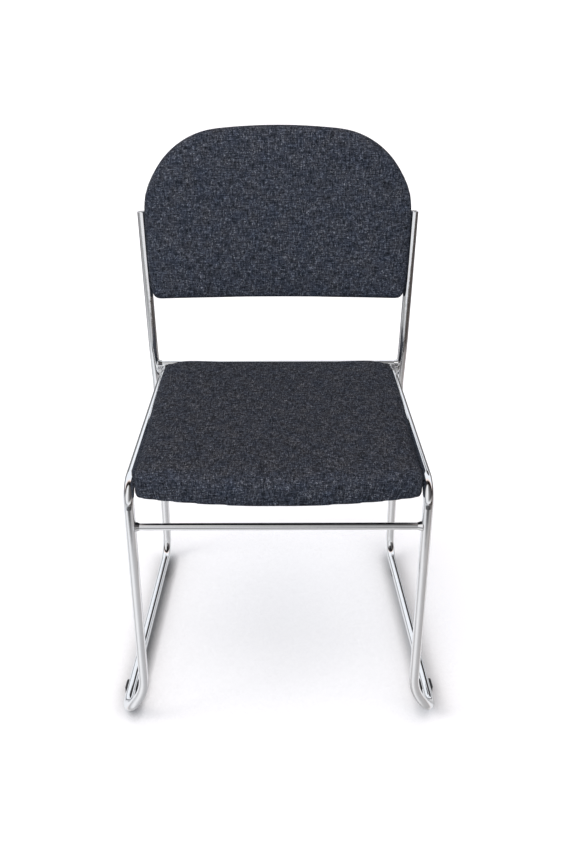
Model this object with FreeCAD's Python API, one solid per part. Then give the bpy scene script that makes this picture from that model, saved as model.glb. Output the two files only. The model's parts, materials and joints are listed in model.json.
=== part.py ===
"""Stacking side chair with a sled base: bent tube sides, two crossbars, padded seat and back.

Millimetres, +Z up. The chair faces -Y, and left and right are the sitter's, so the left side is at +X.
Sizes below are given with y zero near the middle of the seat. When the pieces are written, they all move
along y, so that the origin of the finished model is on the floor under the middle of the chair's box.
"""
import FreeCAD, Part
import math
import os

Vector = FreeCAD.Vector

# ---- tube and rod sections ----
TUBE_R = 8.0
TUBE_WALL = 1.5
BORE_R = TUBE_R - TUBE_WALL
ROD_R = 5.5
BEND_R = 36.0          # feet and front corners
KICK_BEND_R = 80.0     # where the front leg turns outwards to its foot
CRANK_BEND_R = 150.0   # gentle bends of the upright

# ---- side frame: the corners of the tube's axis, left side ----
GLIDE_BASE = 2.5                   # plastic under the tube
RUNNER_Z = GLIDE_BASE + TUBE_R
UPRIGHT_TOP = Vector(243.0, 274.7, 715.0)
CRANK_HIGH = Vector(232.5, 232.5, 473.0)
CRANK_LOW = Vector(229.0, 229.0, 401.0)
FOOT_REAR = Vector(230.9, 233.6, RUNNER_Z)
FOOT_FRONT = Vector(257.4, -238.8, RUNNER_Z)
LEG_KICK = Vector(221.0, -236.2, 63.7)
SEAT_CORNER = Vector(224.5, -213.0, 442.5)
RAIL_END = Vector(212.4, 240.0, 426.0)

# ---- crossbars ----
FRONT_BAR_Z = 375.0
REAR_BAR_Y = 229.0
REAR_BAR_SINK = 0.8    # how far the rear bar is coped down into the rails
WELD_LENGTH = 7.0
WELD_R = 8.0           # where a flared weld meets the tube
WELD_LEG = 0.2         # left on the rod where the flare runs out
WELD_OVERLAP = 1.5     # reach of the flare into the tube, before it is trimmed
REAR_WELD_OUT = 1.6    # the rear bar meets the upright off its axis, so its weld sits further out
RAIL_WELD_R = 5.0

# ---- plugs in the open tube ends ----
PLUG_STEM = 12.0
TOP_PLUG_FLANGE = 2.4
TOP_PLUG_EDGE_R = 1.8
RAIL_PLUG_FLANGE = 2.0
RAIL_PLUG_EDGE_R = 0.8

# ---- seat pad, in the plane of the rails ----
SEAT_TOP = 25.0        # above the rail axis
SEAT_BOTTOM = -22.5
SEAT_FRONT_MID = -233.5
SEAT_FRONT_SIDE = -213.0
SEAT_REAR = 221.0
SEAT_FRONT_CORNER_R = 16.0
SEAT_REAR_CORNER_R = 38.0
SEAT_TOP_EDGE_R = 12.0
SEAT_BOARD_THICK = 12.0
BOARD_INSET = 6.0      # foam wrapped over a board's edge
PAD_GAP = 0.6          # between pad and tube
COVER_THICK = 1.0
SEAT_HEM = 34.0
TAB_THICK = 3.0
TAB_LENGTH = 32.0
TAB_REACH = 42.0
TAB_HOLE_IN = 28.0     # hole to rail axis
TAB_CORNER_R = 8.0
SEAT_TAB_Y = (-150.0, 150.0)

# ---- back pad, in the plane of the uprights ----
BACK_FRONT = 22.0      # ahead of the upright axis
BACK_BOTTOM = 91.5     # at the sides, up the plane from the upper bend
BACK_BOTTOM_MID = 95.5 # in the middle
BACK_TOP = 395.6
BACK_HALF_LOW = 227.8
BACK_HALF_HIGH = 234.5
BACK_HIGH_U = 250.0    # where the half width above is measured
BACK_TOP_ARC_R = 1000.0
BACK_SHOULDER_R = 142.0
BACK_CORNER_R = 14.0
SMALLEST_CORNER_TRIM = 6.0  # the most that a corner radius shrinks from cover to board
BACK_FRONT_EDGE_R = 13.0
BACK_BOARD_FRONT = 4.0
BACK_BOARD_REAR = -6.0
BACK_HEM = 31.0
BRACKET_FRONT = -7.1
BRACKET_THICK = 2.5
BRACKET_U = (108.0, 232.0)
BRACKET_INNER_X = 194.0
BRACKET_CORNER_R = 10.0
BACK_SCREW_X = 205.0
BACK_SCREW_U = (130.0, 210.0)
SHELL_FRONT = -7.3
SHELL_INSET = 0.5
SHELL_REAR = -20.0
SHELL_PLATE = 3.0
SHELL_RIM = 2.5
SHELL_EDGE_R = 8.0
NOTCH_SLACK = 0.4      # between a bracket and the shell's rim
NOTCH_REACH = 40.0     # width of the cut, wider than the rim is thick
CLIP_POINTS = ((-120.0, 300.0), (120.0, 300.0), (-150.0, 160.0), (150.0, 160.0))

# ---- fasteners ----
SCREW_R = 3.0
SCREW_HOLE_R = 3.25
SCREW_HEAD_R = 6.0
SEAT_SCREW_HEAD = 3.5
BACK_SCREW_HEAD = 2.4
NUT_BARREL_R = 4.0
NUT_FLANGE_R = 10.0
NUT_FLANGE = 1.5
CLIP_R = 2.5
CLIP_HEAD_R = 6.0
CLIP_HEAD = 1.0
CLIP_IN_SHELL = 1.5
CLIP_IN_BOARD = 7.0
CLIP_PLAY = 0.5        # hole deeper than the clip
SOCKET_R = 2.3         # to the corners of the hexagon
HEAD_EDGE_SHARE = 0.45 # rounding of a screw head, as a share of its height
SOCKET_SHARE = 0.55    # depth of the socket, as a share of the head's height
BORE_END_PLAY = 0.1    # tee nut short of the board's rear face
TIP_BELOW_FLANGE = 1.0

# ---- glides ----
GLIDE_FRONT_Y = -166.0
GLIDE_REAR_Y = 164.0
GLIDE_FRONT_WIDTH = 23.0
GLIDE_REAR_WIDTH = 14.0
GLIDE_LENGTH = 24.0
GLIDE_HEIGHT = 12.0
GLIDE_PEG_R = 2.5
GLIDE_PEG = 4.0        # reach of the peg above the underside of the tube
GLIDE_CORNER_R = 3.0
GLIDE_CHAMFER = 0.6

BEYOND = 1.0           # how far a cutting tool runs past the face it starts from
CLOSE = 0.01           # tolerance when edges are picked by position

X_AXIS = Vector(1, 0, 0)
Z_AXIS = Vector(0, 0, 1)
ORIGIN = Vector(0, 0, 0)

RAIL_FALL = math.atan2(SEAT_CORNER.z - RAIL_END.z, RAIL_END.y - SEAT_CORNER.y)
LEAN = math.atan2(UPRIGHT_TOP.y - CRANK_HIGH.y, UPRIGHT_TOP.z - CRANK_HIGH.z)


# ---------------------------------------------------------------- frames of reference

def seat_placement():
    """Local x across, y rearwards along the rails, z up from the rail axes; y is zero above world y zero."""
    rail_mid_z = SEAT_CORNER.z + SEAT_CORNER.y * math.tan(RAIL_FALL)
    turn = FreeCAD.Rotation(X_AXIS, -math.degrees(RAIL_FALL))
    return FreeCAD.Placement(Vector(0, 0, rail_mid_z), turn)


def back_placement():
    """Local x across, y up the uprights, z forwards from their axes; y is zero at the upper bend."""
    turn = FreeCAD.Rotation(X_AXIS, 90.0 - math.degrees(LEAN))
    return FreeCAD.Placement(Vector(0, CRANK_HIGH.y, CRANK_HIGH.z), turn)


def placed(shape, placement):
    moved = shape.copy()
    moved.Placement = placement.multiply(moved.Placement)
    return moved


def mirrored(shape):
    return shape.mirror(ORIGIN, X_AXIS)


def rail_half(y):
    """Half the distance between the rail axes at a given y."""
    run = (y - SEAT_CORNER.y) / (RAIL_END.y - SEAT_CORNER.y)
    return SEAT_CORNER.x + run * (RAIL_END.x - SEAT_CORNER.x)


# ---------------------------------------------------------------- tube work

def bent_path(corners, radii):
    """Straight runs joined by tangent arcs, one radius for each inner corner."""
    edges = []
    start = corners[0]
    for before, corner, after, radius in zip(corners, corners[1:], corners[2:], radii):
        back = (before - corner).normalize()
        ahead = (after - corner).normalize()
        half_turn = (math.pi - back.getAngle(ahead)) / 2
        reach = radius * math.tan(half_turn)
        arc_start = corner + back * reach
        arc_end = corner + ahead * reach
        inwards = (back + ahead).normalize()
        arc_mid = corner + inwards * (radius / math.cos(half_turn) - radius)
        edges.append(Part.LineSegment(start, arc_start).toShape())
        edges.append(Part.Arc(arc_start, arc_mid, arc_end).toShape())
        start = arc_end
    edges.append(Part.LineSegment(start, corners[-1]).toShape())
    return Part.Wire(edges)


def swept_round(path, radius):
    first = path.OrderedEdges[0]
    begin = first.valueAt(first.FirstParameter)
    heading = first.tangentAt(first.FirstParameter)
    ring = Part.Wire(Part.Circle(begin, heading, radius).toShape())
    return path.makePipeShell([ring], True, False)


def side_path():
    corners = [UPRIGHT_TOP, CRANK_HIGH, CRANK_LOW, FOOT_REAR, FOOT_FRONT, LEG_KICK, SEAT_CORNER, RAIL_END]
    radii = [CRANK_BEND_R, CRANK_BEND_R, BEND_R, BEND_R, KICK_BEND_R, BEND_R]
    return bent_path(corners, radii)


def side_solid():
    """The side tube as a full round bar, used to trim whatever is welded to it."""
    return swept_round(side_path(), TUBE_R)


def runner_x(y):
    run = (y - FOOT_REAR.y) / (FOOT_FRONT.y - FOOT_REAR.y)
    return FOOT_REAR.x + run * (FOOT_FRONT.x - FOOT_REAR.x)


def leg_point(z):
    """Point of the front leg's axis at a given height."""
    share = (SEAT_CORNER.z - z) / (SEAT_CORNER.z - LEG_KICK.z)
    return SEAT_CORNER + (LEG_KICK - SEAT_CORNER) * share


def side_frame():
    tube = side_solid().cut(swept_round(side_path(), BORE_R))
    for y in (GLIDE_FRONT_Y, GLIDE_REAR_Y):
        drill = Part.makeCylinder(GLIDE_PEG_R, RUNNER_Z, Vector(runner_x(y), y, 0))
        tube = tube.cut(drill)
    return tube


def cross_rod(y, z, half):
    return Part.makeCylinder(ROD_R, 2 * half, Vector(-half, y, z), X_AXIS)


def rear_bar_z():
    rail_z = SEAT_CORNER.z - (REAR_BAR_Y - SEAT_CORNER.y) * math.tan(RAIL_FALL)
    return rail_z + (TUBE_R + ROD_R) / math.cos(RAIL_FALL) - REAR_BAR_SINK


def crossbar(y, z, half, side):
    """A rod between the tube axes, coped to fit the tubes at both ends."""
    rod = cross_rod(y, z, half).cut(side).cut(mirrored(side))
    return max(rod.Solids, key=lambda solid: solid.Volume)


def rod_weld(y, z, half, side):
    """Flared fillet round the left end of a rod."""
    outer_end = half - TUBE_R + WELD_OVERLAP
    flare_start = Vector(outer_end - WELD_LENGTH, y, z)
    flare = Part.makeCone(ROD_R + WELD_LEG, WELD_R, WELD_LENGTH, flare_start, X_AXIS)
    bead = flare.cut(cross_rod(y, z, half)).cut(side)
    return max(bead.Solids, key=lambda solid: solid.Volume)


def rail_weld(side):
    """Bead that fills the narrow gap between the rail's rear end and the rear leg."""
    rail_x = rail_half(REAR_BAR_Y)
    start = Vector(rail_x, REAR_BAR_Y, RAIL_END.z)
    bead = Part.makeCylinder(RAIL_WELD_R, CRANK_LOW.x - rail_x, start, X_AXIS)
    bead = bead.cut(side)
    return max(bead.Solids, key=lambda solid: solid.Volume)


def end_plug(at, heading, flange, edge_r):
    """Plug for an open tube end: a rounded flange on a stem that fills the bore."""
    cap = Part.makeCylinder(TUBE_R, flange)
    cap = cap.makeFillet(edge_r, [edge for edge in cap.Edges if edge.CenterOfMass.z > flange - CLOSE])
    plug = cap.fuse(Part.makeCylinder(BORE_R, PLUG_STEM, Vector(0, 0, -PLUG_STEM))).removeSplitter()
    plug.Placement = FreeCAD.Placement(at, FreeCAD.Rotation(Z_AXIS, heading))
    return plug


def glide(y, width, side):
    """Saddle under the runner with a peg pushed into the tube."""
    heading = math.degrees(math.atan2(FOOT_REAR.x - FOOT_FRONT.x, FOOT_REAR.y - FOOT_FRONT.y))
    block = Part.makeBox(width, GLIDE_LENGTH, GLIDE_HEIGHT, Vector(-width / 2, -GLIDE_LENGTH / 2, 0))
    upright_edges = [edge for edge in block.Edges if abs(edge.BoundBox.ZLength - GLIDE_HEIGHT) < CLOSE]
    block = block.makeFillet(GLIDE_CORNER_R, upright_edges)
    block = block.makeChamfer(GLIDE_CHAMFER, [edge for edge in block.Edges if edge.BoundBox.ZMax < CLOSE])
    block.Placement = FreeCAD.Placement(Vector(runner_x(y), y, 0), FreeCAD.Rotation(Z_AXIS, -heading))
    saddle = block.cut(side)
    saddle = max(saddle.Solids, key=lambda solid: solid.Volume)
    peg_root = GLIDE_BASE / 2
    peg = Part.makeCylinder(GLIDE_PEG_R, GLIDE_BASE + GLIDE_PEG - peg_root, Vector(runner_x(y), y, peg_root))
    return saddle.fuse(peg).removeSplitter()


# ---------------------------------------------------------------- pads

def seat_outline(inset):
    """Closed wire in the rail plane: bowed front, sides along the rails, straight rear."""
    front_mid = SEAT_FRONT_MID + inset
    front_side = SEAT_FRONT_SIDE + inset
    rear = SEAT_REAR - inset
    front_half = rail_half(SEAT_FRONT_SIDE) - TUBE_R - PAD_GAP - inset
    rear_half = rail_half(SEAT_REAR) - TUBE_R - PAD_GAP - inset
    front_left = Vector(front_half, front_side, 0)
    front_right = Vector(-front_half, front_side, 0)
    rear_left = Vector(rear_half, rear, 0)
    rear_right = Vector(-rear_half, rear, 0)
    front = Part.Arc(front_left, Vector(0, front_mid, 0), front_right).toShape()
    right = Part.LineSegment(front_right, rear_right).toShape()
    back = Part.LineSegment(rear_right, rear_left).toShape()
    left = Part.LineSegment(rear_left, front_left).toShape()
    return Part.Wire([front, right, back, left])


def back_outline(inset):
    """Closed wire in the upright plane: hollow bottom, splayed sides and an arched top."""
    bottom = BACK_BOTTOM + inset
    bottom_mid = BACK_BOTTOM_MID + inset
    top = BACK_TOP - inset
    splay = (BACK_HALF_HIGH - BACK_HALF_LOW) / (BACK_HIGH_U - BACK_BOTTOM)
    low_half = BACK_HALF_LOW - inset
    arc_centre = top - (BACK_TOP_ARC_R - inset)
    arc_r = BACK_TOP_ARC_R - inset
    high_half = BACK_HALF_HIGH - inset
    for _ in range(20):
        high = arc_centre + math.sqrt(arc_r ** 2 - high_half ** 2)
        high_half = low_half + splay * (high - BACK_BOTTOM)
    low_left = Vector(low_half, bottom, 0)
    low_right = Vector(-low_half, bottom, 0)
    high_left = Vector(high_half, high, 0)
    high_right = Vector(-high_half, high, 0)
    crown = Part.Arc(high_left, Vector(0, top, 0), high_right).toShape()
    right = Part.LineSegment(high_right, low_right).toShape()
    base = Part.Arc(low_right, Vector(0, bottom_mid, 0), low_left).toShape()
    left = Part.LineSegment(low_left, high_left).toShape()
    return Part.Wire([crown, right, base, left])


def rounded_slab(outline, low, high, corners, edge_r, edge_at):
    """Extruded outline with rounded corners and, unless edge_r is 0, one rounded rim at height edge_at.

    corners is a list of (test on a corner's position, radius).
    """
    face = Part.Face(outline)
    slab = face.extrude(Vector(0, 0, high - low))
    slab.translate(Vector(0, 0, low))
    for is_corner, radius in corners:
        chosen = [edge for edge in slab.Edges
                  if edge.BoundBox.ZLength > 0.9 * (high - low) and len(edge.Vertexes) == 2
                  and edge.BoundBox.XLength < CLOSE and is_corner(edge.CenterOfMass)]
        slab = slab.makeFillet(radius, chosen)
    if edge_r:
        rim = [edge for edge in slab.Edges
               if abs(edge.BoundBox.ZMin - edge_at) < CLOSE and abs(edge.BoundBox.ZMax - edge_at) < CLOSE]
        slab = slab.makeFillet(edge_r, rim)
    return slab


def seat_slab(inset, low, high, edge_r=0.0):
    middle = (SEAT_FRONT_SIDE + SEAT_REAR) / 2
    trim = min(inset, SMALLEST_CORNER_TRIM)
    corners = [(lambda at: at.y < middle, SEAT_FRONT_CORNER_R - trim),
               (lambda at: at.y > middle, SEAT_REAR_CORNER_R - trim)]
    return rounded_slab(seat_outline(inset), low, high, corners, edge_r, high)


def back_slab(inset, low, high, edge_r=0.0, edge_at=None):
    middle = (BACK_BOTTOM + BACK_TOP) / 2
    corners = [(lambda at: at.y > middle, BACK_SHOULDER_R - inset),
               (lambda at: at.y < middle, BACK_CORNER_R - min(inset, SMALLEST_CORNER_TRIM))]
    return rounded_slab(back_outline(inset), low, high, corners, edge_r, high if edge_at is None else edge_at)


def pin_at(point, z_low, z_high, radius):
    return Part.makeCylinder(radius, z_high - z_low, Vector(point[0], point[1], z_low))


def seat_holes():
    return [(side * (rail_half(y) - TAB_HOLE_IN), y) for y in SEAT_TAB_Y for side in (-1, 1)]


def back_holes():
    return [(side * BACK_SCREW_X, u) for u in BACK_SCREW_U for side in (-1, 1)]


def without(shape, tools):
    for tool in tools:
        shape = shape.cut(tool)
    return shape


def compound(solids):
    return Part.makeCompound(solids)


# levels of the seat, bottom to top
SEAT_UNDER = SEAT_BOTTOM + COVER_THICK
SEAT_BOARD_TOP = SEAT_UNDER + SEAT_BOARD_THICK


def seat_cover():
    outer = seat_slab(0.0, SEAT_BOTTOM, SEAT_TOP, SEAT_TOP_EDGE_R)
    inner = seat_slab(COVER_THICK, SEAT_UNDER, SEAT_TOP - COVER_THICK, SEAT_TOP_EDGE_R - COVER_THICK)
    mouth = seat_slab(SEAT_HEM, SEAT_BOTTOM - BEYOND, SEAT_UNDER + BEYOND)
    holes = [pin_at(point, SEAT_BOTTOM - BEYOND, SEAT_UNDER + BEYOND, NUT_BARREL_R) for point in seat_holes()]
    return without(outer, [inner, mouth] + holes)


def seat_foam():
    """Foam on the board and round its edge, with pockets over the nut flanges."""
    block = seat_slab(COVER_THICK, SEAT_UNDER, SEAT_TOP - COVER_THICK, SEAT_TOP_EDGE_R - COVER_THICK)
    board_space = seat_slab(BOARD_INSET, SEAT_UNDER, SEAT_BOARD_TOP)
    pockets = [pin_at(point, SEAT_BOARD_TOP - BEYOND, SEAT_BOARD_TOP + NUT_FLANGE, NUT_FLANGE_R)
               for point in seat_holes()]
    return without(block, [board_space] + pockets)


def seat_board():
    board = seat_slab(BOARD_INSET, SEAT_UNDER, SEAT_BOARD_TOP)
    return without(board, [pin_at(point, SEAT_UNDER - BEYOND, SEAT_BOARD_TOP + BEYOND, NUT_BARREL_R)
                           for point in seat_holes()])


def seat_dust_cover():
    return seat_slab(SEAT_HEM + PAD_GAP, SEAT_BOTTOM, SEAT_UNDER)


def tee_nut(point, board_low, board_high):
    """Barrel in the board with a flange on the face away from the screw."""
    low = board_low + BORE_END_PLAY
    barrel = pin_at(point, low, board_high, NUT_BARREL_R)
    flange = pin_at(point, board_high, board_high + NUT_FLANGE, NUT_FLANGE_R)
    bore = pin_at(point, low - BEYOND, board_high + NUT_FLANGE + BEYOND, SCREW_R)
    return barrel.fuse(flange).removeSplitter().cut(bore)


def pan_screw(point, head_low, head_high, tip):
    """Socket screw with its head at the bottom and its shank pointing up the local axis."""
    height = head_high - head_low
    head = pin_at(point, head_low, head_high, SCREW_HEAD_R)
    low_rim = [edge for edge in head.Edges if edge.CenterOfMass.z < head_low + CLOSE and edge.Closed]
    head = head.makeFillet(HEAD_EDGE_SHARE * height, low_rim)
    shank = pin_at(point, head_high, tip, SCREW_R)
    centre = Vector(point[0], point[1], head_low - BEYOND)
    corner = Vector(SOCKET_R, 0, 0)
    ring = [centre + FreeCAD.Rotation(Z_AXIS, angle).multVec(corner) for angle in range(0, 360, 60)]
    hexagon = Part.Face(Part.makePolygon(ring + ring[:1]))
    socket = hexagon.extrude(Vector(0, 0, BEYOND + SOCKET_SHARE * height))
    return head.fuse(shank).removeSplitter().cut(socket)


def seat_tab(y):
    """Angle tab: a web welded under the left rail and a flange that reaches in below the seat."""
    x = rail_half(y)
    low = SEAT_BOTTOM - TAB_THICK
    far = x + TAB_THICK / 2 - TAB_REACH
    web = Part.makeBox(TAB_THICK, TAB_LENGTH, -low, Vector(x - TAB_THICK / 2, y - TAB_LENGTH / 2, low))
    flange = Part.makeBox(TAB_REACH, TAB_LENGTH, TAB_THICK, Vector(far, y - TAB_LENGTH / 2, low))
    ends = [edge for edge in flange.Edges
            if edge.BoundBox.ZLength > TAB_THICK - CLOSE and edge.CenterOfMass.x < far + CLOSE]
    flange = flange.makeFillet(TAB_CORNER_R, ends)
    tab = web.fuse(flange).removeSplitter()
    return tab.cut(pin_at((x - TAB_HOLE_IN, y), low - BEYOND, SEAT_BOTTOM + BEYOND, SCREW_HOLE_R))


def back_cover():
    rear = BACK_BOARD_REAR - COVER_THICK
    outer = back_slab(0.0, rear, BACK_FRONT, BACK_FRONT_EDGE_R)
    inner = back_slab(COVER_THICK, BACK_BOARD_REAR, BACK_FRONT - COVER_THICK, BACK_FRONT_EDGE_R - COVER_THICK)
    mouth = back_slab(BACK_HEM, rear - BEYOND, BACK_BOARD_REAR + BEYOND)
    holes = [pin_at(point, rear - BEYOND, BACK_BOARD_REAR + BEYOND, NUT_BARREL_R) for point in back_holes()]
    return without(outer, [inner, mouth] + holes)


def back_foam():
    """Foam on the board and round its edge, with pockets over the nut flanges."""
    block = back_slab(COVER_THICK, BACK_BOARD_REAR, BACK_FRONT - COVER_THICK, BACK_FRONT_EDGE_R - COVER_THICK)
    board_space = back_slab(BOARD_INSET, BACK_BOARD_REAR, BACK_BOARD_FRONT)
    pockets = [pin_at(point, BACK_BOARD_FRONT - BEYOND, BACK_BOARD_FRONT + NUT_FLANGE, NUT_FLANGE_R)
               for point in back_holes()]
    return without(block, [board_space] + pockets)


def back_board():
    board = back_slab(BOARD_INSET, BACK_BOARD_REAR, BACK_BOARD_FRONT)
    below = BACK_BOARD_REAR - BEYOND
    nut_holes = [pin_at(point, below, BACK_BOARD_FRONT + BEYOND, NUT_BARREL_R) for point in back_holes()]
    clip_end = BACK_BOARD_REAR + CLIP_IN_BOARD + CLIP_PLAY
    clip_holes = [pin_at(point, below, clip_end, CLIP_R) for point in CLIP_POINTS]
    return without(board, nut_holes + clip_holes)


def back_shell():
    """Moulded tray that closes the rear of the back, with its rim notched for the brackets."""
    tray = back_slab(SHELL_INSET, SHELL_REAR, SHELL_FRONT, SHELL_EDGE_R, SHELL_REAR)
    floor = SHELL_REAR + SHELL_PLATE
    hollow = back_slab(SHELL_INSET + SHELL_RIM, floor, SHELL_FRONT + BEYOND, SHELL_EDGE_R - SHELL_RIM, floor)
    tray = tray.cut(hollow)
    low = BRACKET_FRONT - BRACKET_THICK - NOTCH_SLACK
    notch_length = BRACKET_U[1] - BRACKET_U[0] + 2 * NOTCH_SLACK
    notch_depth = SHELL_FRONT + BEYOND - low
    for side in (-1, 1):
        corner = Vector(side * BACK_HALF_HIGH - NOTCH_REACH / 2, BRACKET_U[0] - NOTCH_SLACK, low)
        tray = tray.cut(Part.makeBox(NOTCH_REACH, notch_length, notch_depth, corner))
    return without(tray, [pin_at(point, floor - CLIP_IN_SHELL - CLIP_PLAY, floor + BEYOND, CLIP_R)
                          for point in CLIP_POINTS])


def shell_clip(point):
    """Push-in clip from a blind hole in the shell into the board."""
    seat_level = SHELL_REAR + SHELL_PLATE
    stem = pin_at(point, seat_level - CLIP_IN_SHELL, BACK_BOARD_REAR + CLIP_IN_BOARD, CLIP_R)
    collar = pin_at(point, seat_level, seat_level + CLIP_HEAD, CLIP_HEAD_R)
    return stem.fuse(collar).removeSplitter()


def back_bracket():
    """Flat plate welded to the rear of the left upright, drilled for the back's screws."""
    low = BRACKET_FRONT - BRACKET_THICK
    width = UPRIGHT_TOP.x - BRACKET_INNER_X
    plate = Part.makeBox(width, BRACKET_U[1] - BRACKET_U[0], BRACKET_THICK,
                         Vector(BRACKET_INNER_X, BRACKET_U[0], low))
    inner = [edge for edge in plate.Edges if edge.BoundBox.ZLength > BRACKET_THICK - CLOSE
             and edge.CenterOfMass.x < BRACKET_INNER_X + CLOSE]
    plate = plate.makeFillet(BRACKET_CORNER_R, inner)
    splay = (UPRIGHT_TOP.x - CRANK_HIGH.x) * math.cos(LEAN) / (UPRIGHT_TOP.z - CRANK_HIGH.z)
    axis_low = Vector(CRANK_HIGH.x, 0, low - BEYOND)
    axis_high = axis_low + Vector(splay * BACK_TOP, BACK_TOP, 0)
    clear = Vector(width, 0, 0)
    outside = Part.makePolygon([axis_low, axis_low + clear, axis_high + clear, axis_high, axis_low])
    plate = plate.cut(Part.Face(outside).extrude(Vector(0, 0, BRACKET_THICK + 2 * BEYOND)))
    return without(plate, [pin_at(point, low - BEYOND, BRACKET_FRONT + BEYOND, SCREW_HOLE_R)
                           for point in back_holes() if point[0] > 0])


# ---------------------------------------------------------------- assembly

def pair(name, shape):
    """The same piece on both sides."""
    return {name + "_left": shape, name + "_right": mirrored(shape)}


def build():
    side = side_solid()
    seat = seat_placement()
    back = back_placement()
    front = leg_point(FRONT_BAR_Z)
    bar_z = rear_bar_z()
    pieces = {}
    pieces.update(pair("side_frame", side_frame()))
    pieces["front_crossbar"] = crossbar(front.y, front.z, front.x, side)
    pieces["rear_crossbar"] = crossbar(REAR_BAR_Y, bar_z, CRANK_LOW.x, side)
    welds = [rod_weld(front.y, front.z, front.x, side),
             rod_weld(REAR_BAR_Y, bar_z, CRANK_LOW.x + REAR_WELD_OUT, side),
             rail_weld(side)]
    pieces["frame_welds"] = compound(welds + [mirrored(weld) for weld in welds])
    up = (UPRIGHT_TOP - CRANK_HIGH).normalize()
    pieces.update(pair("upright_plug", end_plug(UPRIGHT_TOP, up, TOP_PLUG_FLANGE, TOP_PLUG_EDGE_R)))
    rearwards = (RAIL_END - SEAT_CORNER).normalize()
    pieces.update(pair("rail_plug", end_plug(RAIL_END, rearwards, RAIL_PLUG_FLANGE, RAIL_PLUG_EDGE_R)))
    pieces.update(pair("glide_front", glide(GLIDE_FRONT_Y, GLIDE_FRONT_WIDTH, side)))
    pieces.update(pair("glide_rear", glide(GLIDE_REAR_Y, GLIDE_REAR_WIDTH, side)))
    for name, y in zip(("seat_tab_front", "seat_tab_rear"), SEAT_TAB_Y):
        pieces.update(pair(name, placed(seat_tab(y), seat).cut(side)))
    pieces.update(pair("back_bracket", placed(back_bracket(), back).cut(side)))
    tab_under = SEAT_BOTTOM - TAB_THICK
    nuts = [tee_nut(point, SEAT_UNDER, SEAT_BOARD_TOP) for point in seat_holes()]
    screws = [pan_screw(point, tab_under - SEAT_SCREW_HEAD, tab_under, SEAT_BOARD_TOP - TIP_BELOW_FLANGE)
              for point in seat_holes()]
    seat_pieces = {"seat_board": seat_board(), "seat_foam": seat_foam(), "seat_cover": seat_cover(),
                   "seat_dust_cover": seat_dust_cover(), "seat_tee_nuts": compound(nuts),
                   "seat_screws": compound(screws)}
    for name, shape in seat_pieces.items():
        pieces[name] = placed(shape, seat)
    bracket_rear = BRACKET_FRONT - BRACKET_THICK
    nuts = [tee_nut(point, BACK_BOARD_REAR, BACK_BOARD_FRONT) for point in back_holes()]
    tip = BACK_BOARD_FRONT - TIP_BELOW_FLANGE
    screws = [pan_screw(point, bracket_rear - BACK_SCREW_HEAD, bracket_rear, tip) for point in back_holes()]
    clips = [shell_clip(point) for point in CLIP_POINTS]
    back_pieces = {"back_board": back_board(), "back_foam": back_foam(), "back_cover": back_cover(),
                   "back_shell": back_shell(), "back_tee_nuts": compound(nuts),
                   "back_screws": compound(screws), "shell_clips": compound(clips)}
    for name, shape in back_pieces.items():
        pieces[name] = placed(shape, back)
    return pieces


os.makedirs("parts", exist_ok=True)
chair = build()
extent = compound(list(chair.values())).optimalBoundingBox(False, False)
print("depth", round(extent.YMin, 2), round(extent.YMax, 2), "height", round(extent.ZMax, 2))
for node, shape in chair.items():
    shape.translate(Vector(0, -(extent.YMin + extent.YMax) / 2, 0))
    print(node, "solids", len(shape.Solids), "volume", round(shape.Volume), "valid", shape.isValid())
    shape.exportStep("parts/" + node + ".step")
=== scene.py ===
"""Looks of a stacking side chair: chromed tube sides, fabric pads, plastic glides and back shell.

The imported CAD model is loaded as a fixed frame. The tubes and small parts keep their CAD shape and get
their finish here. The soft pads, which CAD holds as plain solids, are made here as upholstered meshes.
Lengths are in metres.
"""
import json
import math

import bmesh
import bpy
import numpy as np
from mathutils import Matrix, Vector, kdtree


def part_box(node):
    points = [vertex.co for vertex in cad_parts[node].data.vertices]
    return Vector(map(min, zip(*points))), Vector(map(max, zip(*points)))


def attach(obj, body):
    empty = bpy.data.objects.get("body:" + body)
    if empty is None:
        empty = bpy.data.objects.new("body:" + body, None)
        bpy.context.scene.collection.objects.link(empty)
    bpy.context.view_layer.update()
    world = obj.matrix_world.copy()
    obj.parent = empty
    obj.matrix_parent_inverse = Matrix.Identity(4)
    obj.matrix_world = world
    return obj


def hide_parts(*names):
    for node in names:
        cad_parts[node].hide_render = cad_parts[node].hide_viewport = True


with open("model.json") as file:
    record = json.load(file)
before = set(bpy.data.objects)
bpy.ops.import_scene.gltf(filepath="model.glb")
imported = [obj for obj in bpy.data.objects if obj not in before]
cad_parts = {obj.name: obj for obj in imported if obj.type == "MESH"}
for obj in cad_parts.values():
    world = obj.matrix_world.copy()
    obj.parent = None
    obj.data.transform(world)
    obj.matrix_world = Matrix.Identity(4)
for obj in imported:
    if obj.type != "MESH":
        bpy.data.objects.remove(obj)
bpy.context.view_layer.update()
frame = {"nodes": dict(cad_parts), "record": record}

MM = 0.001


def middle(node):
    low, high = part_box(node)
    return (Vector(low) + Vector(high)) / 2


# ---------------------------------------------------------------- places taken from the frame
# The construction counts y from a point this far ahead of the rear crossbar.
REAR_BAR_Y = 229 * MM
ORIGIN_Y = middle("rear_crossbar").y - REAR_BAR_Y


def at(x, y, z):
    """A point of the construction, given in its millimetres, in the frame's metres."""
    return Vector((x * MM, y * MM + ORIGIN_Y, z * MM))


# axis points of the left side tube, as the construction has them
UPRIGHT_TOP = at(243.0, 274.7, 715.0)
CRANK_HIGH = at(232.5, 232.5, 473.0)
SEAT_CORNER = at(224.5, -213.0, 442.5)
LEG_KICK = at(221.0, -236.2, 63.7)
RAIL_END = at(212.4, 240.0, 426.0)
TUBE_R = 8 * MM

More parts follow.
